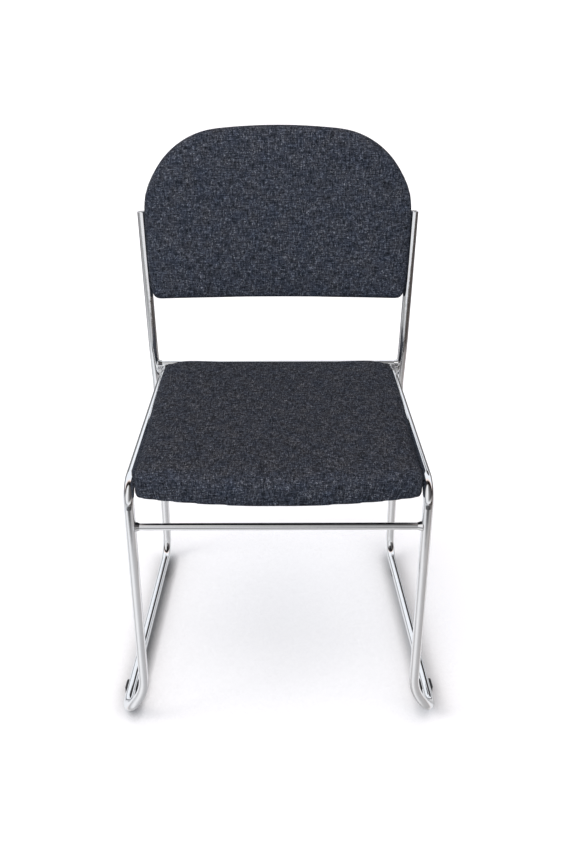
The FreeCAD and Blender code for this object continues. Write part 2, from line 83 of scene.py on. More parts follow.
# ---------------------------------------------------------------- camera
CAMERA_PLACE = at(0, -1471.6, 1231.2)
CAMERA_DOWN = math.radians(28.48)
CAMERA_YAW = math.radians(0.3)
SENSOR = 36.0
LENS = 42.3


def make_camera():
    data = bpy.data.cameras.new("Camera")
    data.sensor_fit = "VERTICAL"
    data.sensor_height = SENSOR
    data.lens = LENS
    camera = bpy.data.objects.new("Camera", data)
    camera.location = CAMERA_PLACE
    camera.rotation_euler = (math.pi / 2 - CAMERA_DOWN, 0, -CAMERA_YAW)
    bpy.context.scene.collection.objects.link(camera)
    bpy.context.scene.camera = camera


# ---------------------------------------------------------------- material helpers

class Nodes:
    """A short way to add and join shader nodes."""

    def __init__(self, tree):
        self.tree = tree
        tree.nodes.clear()

    def add(self, kind, inputs=None, **settings):
        node = self.tree.nodes.new("ShaderNode" + kind)
        for name, value in settings.items():
            setattr(node, name, value)
        for name, value in (inputs or {}).items():
            self.join(value, node.inputs[name])
        return node

    def join(self, value, socket):
        if isinstance(value, bpy.types.NodeSocket):
            self.tree.links.new(value, socket)
        elif isinstance(value, bpy.types.Node):
            self.tree.links.new(value.outputs[0], socket)
        else:
            socket.default_value = value

    def math(self, operation, *values, clamp=False):
        return self.add("Math", dict(enumerate(values)), operation=operation, use_clamp=clamp).outputs[0]

    def scaled(self, vector, *factors):
        """The vector with each component multiplied by its factor."""
        return self.add("VectorMath", {0: vector, 1: factors}, operation="MULTIPLY").outputs["Vector"]

    def ramp(self, factor, stops):
        node = self.add("ValToRGB", {"Fac": factor})
        ramp = node.color_ramp
        while len(ramp.elements) < len(stops):
            ramp.elements.new(0.5)
        for element, (place, colour) in zip(ramp.elements, stops):
            element.position = place
            element.color = colour if len(colour) == 4 else (*colour, 1)
        return node.outputs[0]

    def mix(self, factor, first, second, blend="MIX"):
        node = self.add("Mix", data_type="RGBA", blend_type=blend)
        self.join(factor, node.inputs[0])
        self.join(first, node.inputs[6])
        self.join(second, node.inputs[7])
        return node.outputs[2]

    def multiply(self, *colours):
        product = colours[0]
        for colour in colours[1:]:
            product = self.mix(1.0, product, colour, "MULTIPLY")
        return product

    def mix_values(self, factor, first, second):
        node = self.add("Mix", data_type="FLOAT")
        self.join(factor, node.inputs[0])
        self.join(first, node.inputs[2])
        self.join(second, node.inputs[3])
        return node.outputs[0]

    def share(self, value, scale=0.5):
        """Brings a value from the range -1 to 1, or another one about 0, into 0 to 1 for a ramp."""
        return self.math("MULTIPLY_ADD", value, scale, 0.5)

    def sum_of_shaders(self, first, second):
        node = self.add("AddShader")
        self.join(first, node.inputs[0])
        self.join(second, node.inputs[1])
        return node


def material(name):
    made = bpy.data.materials.new(name)
    made.use_nodes = True
    return made, Nodes(made.node_tree)


def grey(value):
    return (value, value, value, 1)


def surface(nodes, inputs, bump=None):
    """Principled shader from inputs, with an optional (height, strength, distance) bump."""
    shader = nodes.add("BsdfPrincipled", inputs)
    if bump:
        height, strength, distance = bump
        made = nodes.add("Bump", {"Height": height, "Strength": strength, "Distance": distance})
        nodes.join(made.outputs[0], shader.inputs["Normal"])
    nodes.add("OutputMaterial", {"Surface": shader})


def noise(nodes, place, scale, detail=2.0, roughness=0.5):
    inputs = {"Vector": place, "Scale": scale, "Detail": detail, "Roughness": roughness}
    return nodes.add("TexNoise", inputs).outputs[0]


def object_place(nodes):
    return nodes.add("TexCoord").outputs["Object"]


# ---------------------------------------------------------------- materials of hard parts

def chrome():
    """Bright plate: faint haze, fine smudges and the slight waviness of polished tube."""
    made, nodes = material("Chrome")
    place = object_place(nodes)
    haze = noise(nodes, place, 28, 4)
    smudge = noise(nodes, place, 160, 3, 0.6)
    roughness = nodes.math("MULTIPLY_ADD", haze, 0.07, 0.02)
    roughness = nodes.math("MULTIPLY_ADD", smudge, 0.05, roughness)
    colour = nodes.ramp(haze, [(0.3, (0.91, 0.92, 0.94)), (0.75, (0.96, 0.96, 0.97))])
    waves = noise(nodes, place, 55, 1.5)
    surface(nodes, {"Base Color": colour, "Metallic": 1.0, "Roughness": roughness}, (waves, 0.05, 0.002))
    return made


def welded_chrome():
    """Plate over a weld bead: rougher, with fine ripples."""
    made, nodes = material("ChromeWeld")
    place = object_place(nodes)
    ripples = noise(nodes, place, 150, 2)
    roughness = nodes.math("MULTIPLY_ADD", ripples, 0.08, 0.08)
    colour = nodes.ramp(ripples, [(0.35, (0.84, 0.84, 0.85)), (0.7, (0.92, 0.92, 0.93))])
    surface(nodes, {"Base Color": colour, "Metallic": 1.0, "Roughness": roughness}, (ripples, 0.015, 0.0005))
    return made


def zinc():
    made, nodes = material("Zinc")
    place = object_place(nodes)
    spangle = noise(nodes, place, 600, 3)
    colour = nodes.ramp(spangle, [(0.3, (0.50, 0.50, 0.49)), (0.7, (0.68, 0.68, 0.66))])
    roughness = nodes.math("MULTIPLY_ADD", spangle, 0.2, 0.25)
    surface(nodes, {"Base Color": colour, "Metallic": 1.0, "Roughness": roughness}, (spangle, 0.15, 0.0005))
    return made


def moulded_plastic(name, dark, light, grain_scale, grain_strength, roughness):
    """Moulded plastic with a fine leathery grain and faint scuffs."""
    made, nodes = material(name)
    place = object_place(nodes)
    grain = nodes.add("TexVoronoi", {"Vector": place, "Scale": grain_scale}, feature="SMOOTH_F1").outputs[0]
    scuff = noise(nodes, place, 60, 5, 0.65)
    colour = nodes.ramp(scuff, [(0.35, dark), (0.75, light)])
    rough = nodes.math("MULTIPLY_ADD", scuff, 0.2, roughness - 0.1)
    surface(nodes, {"Base Color": colour, "Roughness": rough, "Specular IOR Level": 0.45},
            (grain, grain_strength, 0.0008))
    return made


def plywood():
    """Beech veneer, its grain drawn out along one direction, with small dark flecks."""
    made, nodes = material("Plywood")
    place = object_place(nodes)
    grain = noise(nodes, nodes.scaled(place, 60, 4, 60), 3, 5, 0.6)
    flecks = noise(nodes, nodes.scaled(place, 900, 90, 900), 1, 1)
    colour = nodes.ramp(grain, [(0.3, (0.42, 0.27, 0.14)), (0.7, (0.66, 0.48, 0.29))])
    colour = nodes.mix(nodes.math("MULTIPLY", flecks, 0.3), colour, (0.36, 0.22, 0.12, 1))
    surface(nodes, {"Base Color": colour, "Roughness": 0.6}, (grain, 0.2, 0.0005))
    return made


def foam():
    made, nodes = material("Foam")
    place = object_place(nodes)
    cells = nodes.add("TexVoronoi", {"Vector": place, "Scale": 900}).outputs[0]
    colour = nodes.ramp(cells, [(0.0, (0.60, 0.54, 0.36)), (0.6, (0.82, 0.77, 0.58))])
    surface(nodes, {"Base Color": colour, "Roughness": 0.95}, (cells, 0.6, 0.0006))
    return made


def dust_cloth():
    """Black non-woven cloth with the small square bond marks of its felting."""
    made, nodes = material("DustCloth")
    place = object_place(nodes)
    fibres = noise(nodes, place, 700, 4, 0.7)
    dots = nodes.add("TexVoronoi", {"Vector": place, "Scale": 420, "Randomness": 0.0},
                     distance="CHEBYCHEV").outputs[0]
    bonds = nodes.math("LESS_THAN", dots, 0.25)
    colour = nodes.ramp(fibres, [(0.3, (0.012, 0.012, 0.013)), (0.7, (0.035, 0.035, 0.037))])
    height = nodes.math("SUBTRACT", fibres, nodes.math("MULTIPLY", bonds, 0.5))
    surface(nodes, {"Base Color": colour, "Roughness": 0.85, "Sheen Weight": 0.15}, (height, 0.5, 0.0005))
    return made


# ---------------------------------------------------------------- upholstery cloth
WEAVE_MAP = "Weave"       # UV map that holds the cloth's own coordinates, in metres
THREAD = 1.05 * MM
SLUB = 2.8 * MM           # length over which a thread keeps its colour
OFFSET_SPAN = 9.0         # neighbouring threads are shifted by up to this many slubs
WARP_SEED = 11.0
WEFT_SEED = 47.0


def upholstery():
    """Plain weave of melange yarn: dark slate threads, grey-blue ones and short pale flecks."""
    made, nodes = material("Upholstery")
    cloth = nodes.add("UVMap", uv_map=WEAVE_MAP).outputs[0]
    across, along, _ = nodes.add("SeparateXYZ", {0: cloth}).outputs

    def thread_set(over, run, seed):
        """Number of the thread, random value along it, and its rounded height."""
        position = nodes.math("DIVIDE", over, THREAD)
        number = nodes.math("FLOOR", position)
        offset = nodes.add("TexWhiteNoise", {"W": nodes.math("ADD", number, seed)}, noise_dimensions="1D")
        offset = nodes.math("MULTIPLY", offset.outputs[0], OFFSET_SPAN)
        piece = nodes.math("ADD", nodes.math("DIVIDE", run, SLUB), offset)
        key = nodes.add("CombineXYZ", {0: number, 1: nodes.math("FLOOR", piece), 2: seed})
        colour = nodes.add("TexWhiteNoise", {"Vector": key}, noise_dimensions="3D").outputs[0]
        fraction = nodes.math("SUBTRACT", position, number)
        round_height = nodes.math("SINE", nodes.math("MULTIPLY", fraction, math.pi))
        return number, colour, round_height

    def slubs(along_x, along_y):
        """Thick and thin places, drawn out along one set of threads."""
        return noise(nodes, nodes.scaled(cloth, along_x, along_y, 1.0), 1.0, 2, 0.6)

    warp_number, warp_colour, warp_height = thread_set(across, along, WARP_SEED)
    weft_number, weft_colour, weft_height = thread_set(along, across, WEFT_SEED)
    parity = nodes.math("PINGPONG", nodes.math("ADD", warp_number, weft_number), 1.0)
    height = nodes.mix_values(parity, warp_height, weft_height)
    yarn = nodes.ramp(nodes.mix_values(parity, warp_colour, weft_colour), [
        (0.0, (0.0165, 0.0188, 0.0240)),
        (0.40, (0.0258, 0.0290, 0.0370)),
        (0.75, (0.0425, 0.0460, 0.0575)),
        (0.93, (0.0700, 0.0740, 0.0900)),
        (0.985, (0.150, 0.156, 0.175))])
    streaks = nodes.math("ADD", slubs(60.0, 480.0), slubs(480.0, 75.0))
    streaks = nodes.ramp(nodes.math("MULTIPLY", streaks, 0.5), [(0.36, grey(0.22)), (0.64, grey(1.78))])
    mottle = noise(nodes, cloth, 170, 3, 0.7)
    mottle = nodes.ramp(mottle, [(0.30, grey(0.50)), (0.70, grey(1.50))])
    clouds = noise(nodes, cloth, 34, 3, 0.6)
    clouds = nodes.ramp(clouds, [(0.3, (0.80, 0.86, 0.94)), (0.7, (1.16, 1.12, 1.06))])
    colour = nodes.multiply(yarn, nodes.multiply(mottle, streaks), clouds)
    fuzz = noise(nodes, cloth, 2600, 2, 0.6)
    relief = nodes.math("MULTIPLY_ADD", fuzz, 0.35, height)
    surface(nodes, {"Base Color": colour, "Roughness": 0.95, "Specular IOR Level": 0.05},
            (relief, 0.5, 0.0005))
    return made


# ---------------------------------------------------------------- finish of the carried-over parts

def finish_node(node, made):
    for slot in frame["nodes"][node].material_slots:
        slot.material = made


def finish_hard_parts():
    bright = chrome()
    weld = welded_chrome()
    black = moulded_plastic("BlackPlastic", (0.010, 0.010, 0.011), (0.024, 0.024, 0.026), 1300, 0.35, 0.48)
    nylon = moulded_plastic("Nylon", (0.62, 0.60, 0.54), (0.78, 0.76, 0.70), 1500, 0.1, 0.45)
    by_slot = {"chrome_tube": bright, "black_plastic": black, "clip_plastic": nylon, "plywood": plywood(),
               "foam": foam(), "dust_cloth": dust_cloth(), "zinc_steel": zinc()}
    for row in frame["record"]["subparts"]:
        if row["material_slot"] in by_slot:
            finish_node(row["node"], by_slot[row["material_slot"]])
    finish_node("frame_welds", weld)


# ---------------------------------------------------------------- pads

VOXEL = 5 * MM
TUBE_GAP = 0.3 * MM    # kept free between a cover and the tubes

# how many steps a pad's half outline has along each stretch
EDGE_STEPS = 24
SIDE_STEPS = 40
BOWED_CORNER_STEPS = 18
FLAT_CORNER_STEPS = 10

# cloth simulation that fills the pads
FRAMES = 20
PRESSURE = 1.5
FOAM_RISE = 5 * MM     # a cover moves outwards by less than this
FOAM_SLACK = 12 * MM   # the cloth's move at which half of that rise is reached
RAIL_DIRECTION = Vector((0, RAIL_END.y - SEAT_CORNER.y, RAIL_END.z - SEAT_CORNER.z)).normalized()
UPRIGHT_DIRECTION = Vector((0, UPRIGHT_TOP.y - CRANK_HIGH.y, UPRIGHT_TOP.z - CRANK_HIGH.z)).normalized()


def local_axes(y, start):
    """World matrix of axes in the middle plane: x across, y as given, and z square to both."""
    x = Vector((1, 0, 0))
    rows = Matrix((x, y, x.cross(y))).transposed().to_4x4()
    return Matrix.Translation(Vector((0, start.y, start.z))) @ rows


def seat_frame():
    """The seat's local axes: y runs rearwards along the rails, z up from them."""
    y = RAIL_DIRECTION
    return local_axes(y, SEAT_CORNER + y * ((-SEAT_CORNER.y + ORIGIN_Y) / y.y))


def back_frame():
    """The back's local axes: y runs up the uprights, z forwards from them."""
    return local_axes(UPRIGHT_DIRECTION, CRANK_HIGH)


def arc_points(centre, radius, start, end, count):
    """Points on an arc, angles in radians."""
    return [(centre[0] + radius * math.cos(start + (end - start) * k / count),
             centre[1] + radius * math.sin(start + (end - start) * k / count)) for k in range(count + 1)]


def half_outline(side_x, slope, bowed_mid, bow_radius, bowed_corner, flat_edge, flat_corner):
    """Right half of a pad's outline, from the middle of its bowed edge to the middle of its flat edge.

    The side runs through (side_x, 0) and widens by slope for each unit of y. The bowed edge lies at the
    low or high y given by bowed_mid, and curves with bow_radius. Corners have the radii given.
    """
    outward = 1 if bowed_mid > flat_edge else -1
    bow_centre = bowed_mid - outward * bow_radius
    lean = math.hypot(1, slope)
    inner = side_x - bowed_corner * lean
    reach = bow_radius - bowed_corner
    a = 1 + slope * slope
    b = inner * slope - bow_centre
    c = inner * inner + bow_centre ** 2 - reach ** 2
    y = (-b + outward * math.sqrt(b * b - a * c)) / a
    centre = (inner + slope * y, y)
    side_angle = math.atan2(-slope, 1)
    bow_angle = math.atan2(y - bow_centre, centre[0])
    points = arc_points((0, bow_centre), bow_radius, outward * math.pi / 2, bow_angle, EDGE_STEPS)[:-1]
    points += arc_points(centre, bowed_corner, bow_angle, side_angle, BOWED_CORNER_STEPS)
    flat_y = flat_edge + outward * flat_corner
    flat_centre = (side_x - flat_corner * lean + slope * flat_y, flat_y)
    end = (flat_centre[0] + flat_corner * math.cos(side_angle),
           flat_centre[1] + flat_corner * math.sin(side_angle))
    start = points[-1]
    points += [(start[0] + (end[0] - start[0]) * k / SIDE_STEPS,
                start[1] + (end[1] - start[1]) * k / SIDE_STEPS) for k in range(1, SIDE_STEPS)]
    points += arc_points(flat_centre, flat_corner, side_angle, -outward * math.pi / 2, FLAT_CORNER_STEPS)
    last = points[-1]
    points += [(last[0] * (1 - k / EDGE_STEPS), last[1]) for k in range(1, EDGE_STEPS + 1)]
    return points


def closed_outline(half):
    """Both halves in one closed ring of points, as an array."""
    mirrored = [(-x, y) for x, y in reversed(half[1:-1])]
    return np.array(half + mirrored)


def outward_normals(ring):
    ahead = np.roll(ring, -1, axis=0) - np.roll(ring, 1, axis=0)
    normal = np.stack([ahead[:, 1], -ahead[:, 0]], axis=1)
    normal /= np.linalg.norm(normal, axis=1)[:, None]
    area = np.sum(ring[:, 0] * np.roll(ring[:, 1], -1) - np.roll(ring[:, 0], -1) * ring[:, 1])
    return normal if area > 0 else -normal


def stacked_mesh(name, ring, levels):
    """Closed mesh from copies of a ring; levels are (height, inset) from bottom to top."""
    normal = outward_normals(ring)
    mesh = bmesh.new()
    loops = []
    for height, inset in levels:
        shifted = ring - normal * inset
        loops.append([mesh.verts.new((x, y, height)) for x, y in shifted])
    count = len(ring)
    for low, high in zip(loops, loops[1:]):
        for k in range(count):
            mesh.faces.new((low[k], low[(k + 1) % count], high[(k + 1) % count], high[k]))
    mesh.faces.new(loops[0][::-1])
    mesh.faces.new(loops[-1])
    bmesh.ops.recalc_face_normals(mesh, faces=mesh.faces)
    data = bpy.data.meshes.new(name)
    mesh.to_mesh(data)
    mesh.free()
    piece = bpy.data.objects.new(name, data)
    bpy.context.scene.collection.objects.link(piece)
    return piece


def points_of(piece):
    values = np.empty(len(piece.data.vertices) * 3)
    piece.data.vertices.foreach_get("co", values)
    return values.reshape(-1, 3)


def set_points(piece, values):
    piece.data.vertices.foreach_set("co", np.asarray(values, float).ravel())
    piece.data.update()


def only(piece):
    for other in bpy.context.selected_objects:
        other.select_set(False)
    piece.select_set(True)
    bpy.context.view_layer.objects.active = piece


def apply_modifiers(piece):
    only(piece)
    for modifier in list(piece.modifiers):
        bpy.ops.object.modifier_apply(modifier=modifier.name)


def remesh(piece, voxel):
    modifier = piece.modifiers.new("Remesh", "REMESH")
    modifier.mode = "VOXEL"
    modifier.voxel_size = voxel
    apply_modifiers(piece)


def inflate(piece, held_below):
    """Blows the cover up as cloth, held to the board below a height, and lays the result over firm foam.

    Foam keeps the cover from sinking in, so only the outward part of each point's move stays, and it
    levels off at FOAM_RISE.
    """
    start = points_of(piece)
    normals = np.empty(len(start) * 3)
    piece.data.vertices.foreach_get("normal", normals)
    normals = normals.reshape(-1, 3)
    group = piece.vertex_groups.new(name="held")
    group.add([int(k) for k in np.nonzero(start[:, 2] < held_below)[0]], 1.0, "REPLACE")
    cloth = piece.modifiers.new("Cloth", "CLOTH")
    cloth.settings.quality = 4
    cloth.settings.mass = 0.3
    cloth.settings.tension_stiffness = 18
    cloth.settings.compression_stiffness = 18
    cloth.settings.shear_stiffness = 8
    cloth.settings.bending_stiffness = 2.0
    cloth.settings.use_pressure = True
    cloth.settings.uniform_pressure_force = PRESSURE
    cloth.settings.vertex_group_mass = "held"
    cloth.settings.effector_weights.gravity = 0
    cloth.point_cache.frame_end = FRAMES
    scene = bpy.context.scene
    for number in range(1, FRAMES + 1):
        scene.frame_set(number)
    settled = piece.evaluated_get(bpy.context.evaluated_depsgraph_get())
    values = np.empty(len(piece.data.vertices) * 3)
    settled.data.vertices.foreach_get("co", values)
    moved = values.reshape(-1, 3) - start
    piece.modifiers.clear()
    piece.vertex_groups.clear()
    scene.frame_set(1)
    outward = np.maximum(0.0, np.sum(moved * normals, axis=1))
    rise = FOAM_RISE * outward / (outward + FOAM_SLACK)
    set_points(piece, start + normals * rise[:, None])


def keep_off_tube(points, ends, radius):
    """Pushes points out of a straight tube between two ends, on the mirrored side too."""
    for mirror in (1, -1):
        a = np.array((ends[0][0] * mirror, ends[0][1], ends[0][2]))
        b = np.array((ends[1][0] * mirror, ends[1][1], ends[1][2]))
        axis = b - a
        share = np.clip(((points - a) @ axis) / (axis @ axis), 0, 1)
        away = points - (a + share[:, None] * axis)
        distance = np.linalg.norm(away, axis=1)
        inside = distance < radius
        points[inside] += away[inside] * (radius / distance[inside] - 1)[:, None]
    return points


def weave_coordinates(piece, ring, top):
    """UV map with the cloth's own coordinates: flat on the pad's face, and folded down over its sides."""
    normal = outward_normals(ring)
    tree = kdtree.KDTree(len(ring))
    for k, (x, y) in enumerate(ring):
        tree.insert((x, y, 0), k)
    tree.balance()
    points = points_of(piece)
    flat = np.empty((len(points), 2))
    for k, (x, y, z) in enumerate(points):
        _, nearest, _ = tree.find((x, y, 0))
        flat[k] = (x, y) + normal[nearest] * max(0.0, top - z)
    layer = piece.data.uv_layers.new(name=WEAVE_MAP)
    corners = np.empty(len(piece.data.loops), dtype=np.int32)
    piece.data.loops.foreach_get("vertex_index", corners)
    layer.data.foreach_set("uv", flat[corners].ravel())


def smooth_shading(piece):
    piece.data.polygons.foreach_set("use_smooth", [True] * len(piece.data.polygons))


def subdivide(piece):
    modifier = piece.modifiers.new("Subdivision", "SUBSURF")
    modifier.levels = 1
    modifier.render_levels = 1
    apply_modifiers(piece)


def dress(piece, ring, top, place, cloth):
    """Refines a finished pad, lays the cloth on it and puts it in its place."""
    subdivide(piece)
    weave_coordinates(piece, ring, top)
    piece.data.transform(place)
    smooth_shading(piece)
    piece.data.materials.append(cloth)


def smooth_step(value, low, high):
    """0 below low, 1 above high, and a smooth rise between them."""
    share = np.clip((value - low) / (high - low), 0, 1)
    return share * share * (3 - 2 * share)


# seat, in its local millimetres
SEAT_TOP = 25.0
SEAT_BOTTOM = -22.5
SEAT_SIDE = 209.9      # half width where local y is 0
SEAT_SLOPE = -0.0267
SEAT_FRONT = -233.5
SEAT_REAR = 221.0
SEAT_FRONT_BOW = 900.0
SEAT_FRONT_CORNER = 12.0
SEAT_REAR_CORNER = 38.0
SEAT_LOW_EDGE = 3.0    # radii of the rolled edges
SEAT_HIGH_EDGE = 12.0
SEAT_HEM = 34.0        # from the outline to the hem's mouth on the underside
HEM_STEP = 1.3         # how far the underside steps up inside the mouth
OVER_RAIL = 6.5        # how far the foam swells over the rails towards the rear
REAR_LIFT = 1.5
FRONT_FULLNESS = 2.5
CORNER_FULLNESS = 2.4  # at the front corners, beside the legs
FRONT_DROP = 1.0       # the cover's fold under the front edge hangs this far below the board
REAR_DIP = 2.0


def seat_ring(inset):
    half = half_outline((SEAT_SIDE - inset) * MM, SEAT_SLOPE, (SEAT_FRONT + inset) * MM, SEAT_FRONT_BOW * MM,
                        SEAT_FRONT_CORNER * MM, (SEAT_REAR - inset) * MM, SEAT_REAR_CORNER * MM)
    return closed_outline(half)


def rounded_levels(bottom, top, low_radius, high_radius, steps=5):
    """(height, inset) pairs of a side wall with a rounded lower and upper edge."""
    levels = []
    for k in range(steps + 1):
        turn = math.pi / 2 * k / steps
        levels.append((bottom + low_radius * (1 - math.cos(turn)), low_radius * (1 - math.sin(turn))))
    for k in range(steps + 1):
        turn = math.pi / 2 * k / steps
        levels.append((top - high_radius * (1 - math.sin(turn)), high_radius * (1 - math.cos(turn))))
    return levels


def shape_seat(points):
    """The foam swells over the rails towards the rear, fills the front, and dips in the middle of the
    rear."""
    x, y, z = points.T / MM
    side = SEAT_SIDE + SEAT_SLOPE * y
    beside = smooth_step(np.abs(x), side - 30, side)
    above_rail = smooth_step(z, 5, 11)
    over = OVER_RAIL * smooth_step(y, -110, 60) * beside * above_rail
    over += CORNER_FULLNESS * smooth_step(-y, 185, 220) * beside
    front = smooth_step(-y, 195, 215)
    height = np.clip((z - SEAT_BOTTOM) / (SEAT_TOP - SEAT_BOTTOM), 0, 1)
    full = FRONT_FULLNESS * front * np.sin(np.pi * height) ** 0.7
    drop = FRONT_DROP * front * (1 - smooth_step(z, SEAT_BOTTOM + 2, SEAT_BOTTOM + 14))
    upper = smooth_step(z, 0, 20)
    rear = smooth_step(y, 40, 215) * upper
    lift = rear * (REAR_LIFT - REAR_DIP * (1 - smooth_step(np.abs(x), 70, 165)))
    return np.stack([x + np.sign(x) * over, y - full, z - drop + lift], axis=1) * MM


def tuck_hem(points):
    """Inside the hem the underside steps up, which leaves room for the dust cover laid in its mouth."""
    mouth = seat_ring(SEAT_HEM)
    normal = outward_normals(mouth)
    x, y, z = points.T / MM
    for k in np.nonzero(z < SEAT_BOTTOM + 2)[0]:
        offset = points[k, :2] - mouth
        nearest = np.argmin(np.sum(offset ** 2, axis=1))
        within = -float(offset[nearest] @ normal[nearest]) / MM
        if within > 6 - SEAT_HEM:
            z[k] = max(z[k], SEAT_BOTTOM + HEM_STEP * smooth_step(within, -2, 1))
    return np.stack([x, y, z], axis=1) * MM


def make_seat(cloth):
    levels = rounded_levels(SEAT_BOTTOM * MM, (SEAT_TOP - 0.5) * MM, SEAT_LOW_EDGE * MM, SEAT_HIGH_EDGE * MM)
    seat = stacked_mesh("seat_upholstery", seat_ring(0), levels)
    remesh(seat, VOXEL)
    set_points(seat, shape_seat(points_of(seat)))
    inflate(seat, (SEAT_BOTTOM + 6) * MM)
    points = points_of(seat)
    into_seat = seat_frame().inverted()
    for tube_end in (RAIL_END, LEG_KICK):
        points = keep_off_tube(points, (into_seat @ SEAT_CORNER, into_seat @ tube_end), TUBE_R + TUBE_GAP)
    set_points(seat, tuck_hem(points))
    dress(seat, seat_ring(0), SEAT_TOP * MM, seat_frame(), cloth)
    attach(seat, "root")
    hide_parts("seat_foam", "seat_cover")


# back, in its local millimetres
BACK_FRONT = 22.0
BACK_REAR = -7.0
BACK_SIDE = 223.9      # half width where local y is 0
BACK_SLOPE = 0.0426
BACK_TOP = 395.6
BACK_BOTTOM = 91.5
BACK_TOP_BOW = 1000.0
BACK_SHOULDER = 142.0
BACK_LOW_CORNER = 14.0
BACK_REAR_EDGE = 3.0   # radii of the rolled edges
BACK_FRONT_EDGE = 9.0
BACK_RISE = 4.0        # how much higher the bottom edge is in the middle
BACK_CROWN = 12.0      # how far the padding stands out in the middle
OVER_UPRIGHT = 3.4     # how far the foam swells over the fronts of the uprights


def back_ring():
    half = half_outline(BACK_SIDE * MM, BACK_SLOPE, BACK_TOP * MM, BACK_TOP_BOW * MM, BACK_SHOULDER * MM,
                        BACK_BOTTOM * MM, BACK_LOW_CORNER * MM)
    ring = closed_outline(half)
    x, y = ring.T / MM
    rise = BACK_RISE * (1 - (x / BACK_SIDE) ** 2) * (1 - smooth_step(y, BACK_BOTTOM, BACK_BOTTOM + 80))
    return np.stack([x, y + np.maximum(rise, 0)], axis=1) * MM


def shape_back(points):
    """The padding is thicker in the middle, and the foam swells a little over the fronts of the uprights."""
    x, y, z = points.T / MM
    up = (2 * y - BACK_TOP - BACK_BOTTOM) / (BACK_TOP - BACK_BOTTOM)
    crown = BACK_CROWN * np.clip(1 - np.abs(x / BACK_SIDE) ** 3, 0, 1) * np.clip(1 - np.abs(up) ** 3, 0, 1)
    crown *= smooth_step(z, BACK_REAR + 7, BACK_FRONT - 2)
    side = BACK_SIDE + BACK_SLOPE * y
    beside = smooth_step(np.abs(x), side - 25, side)
    over = OVER_UPRIGHT * beside * smooth_step(z, 4, 13) * smooth_step(y, BACK_BOTTOM + 5, BACK_BOTTOM + 40)
    return np.stack([x + np.sign(x) * over, y, z + crown], axis=1) * MM


def make_back(cloth):
    levels = rounded_levels(BACK_REAR * MM, (BACK_FRONT - 1) * MM, BACK_REAR_EDGE * MM, BACK_FRONT_EDGE * MM)
    back = stacked_mesh("back_upholstery", back_ring(), levels)
    remesh(back, VOXEL)
    set_points(back, shape_back(points_of(back)))
    inflate(back, (BACK_REAR + 5) * MM)
    into_back = back_frame().inverted()
    upright = (into_back @ CRANK_HIGH, into_back @ UPRIGHT_TOP)
    set_points(back, keep_off_tube(points_of(back), upright, TUBE_R + TUBE_GAP))
    dress(back, back_ring(), BACK_FRONT * MM, back_frame(), cloth)
    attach(back, "root")
    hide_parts("back_foam", "back_cover")


# ---------------------------------------------------------------- studio

FLOOR_LIFT = 0.18      # added for the camera, so that the paper comes out white
FLOOR_BOUNCE = 0.10    # what the floor gives back to the chair
FLOOR_SPAN = 0.1       # metres to a ramp's range: 0 to 1 stands for 5 m on either side of the chair
OUTWARD_TILT = 0.75    # how far the contact shade's view leans away from the middle
SHEEN_ROUGHNESS = 0.25


def floor_shade(nodes, x):
    """What the camera sees the paper darkened by, all painted shade from ambient occlusion: a painted shadow
    in the space below the seat, and painted contact shade at the tubes.

    The contact shade is painted on the inner side of each runner, as if the light came from outside. It is
    strong at the left runner and weak at the right one.
    """
    # painted shadow under the seat: the paper darkens where ambient occlusion finds the chair within reach
    below = nodes.add("AmbientOcclusion", {"Distance": 0.47}, samples=6).outputs["AO"]
    below = nodes.ramp(below, [(0.72, grey(0.66)), (0.97, grey(1.0))])
    # painted contact shade: occlusion seen along a normal tilted away from the middle, so it lies only on the
    # tubes' inner side
    outwards = nodes.math("MAXIMUM", nodes.math("MULTIPLY", x, 10.0), -OUTWARD_TILT)
    outwards = nodes.math("MINIMUM", outwards, OUTWARD_TILT)
    outwards = nodes.add("CombineXYZ", {0: outwards, 1: 0.0, 2: 0.66}).outputs[0]
    painted_contact_shade = nodes.add("AmbientOcclusion", {"Distance": 0.025, "Normal": outwards}, samples=6).outputs["AO"]
    painted_contact_shade = nodes.ramp(painted_contact_shade, [(0.50, grey(0.30)), (0.80, grey(1.0))])
    at_right = nodes.ramp(nodes.math("ADD", x, 0.5), [(0.45, grey(0)), (0.55, grey(0.65))])
    return nodes.multiply(nodes.mix(at_right, painted_contact_shade, grey(1.0)), below)


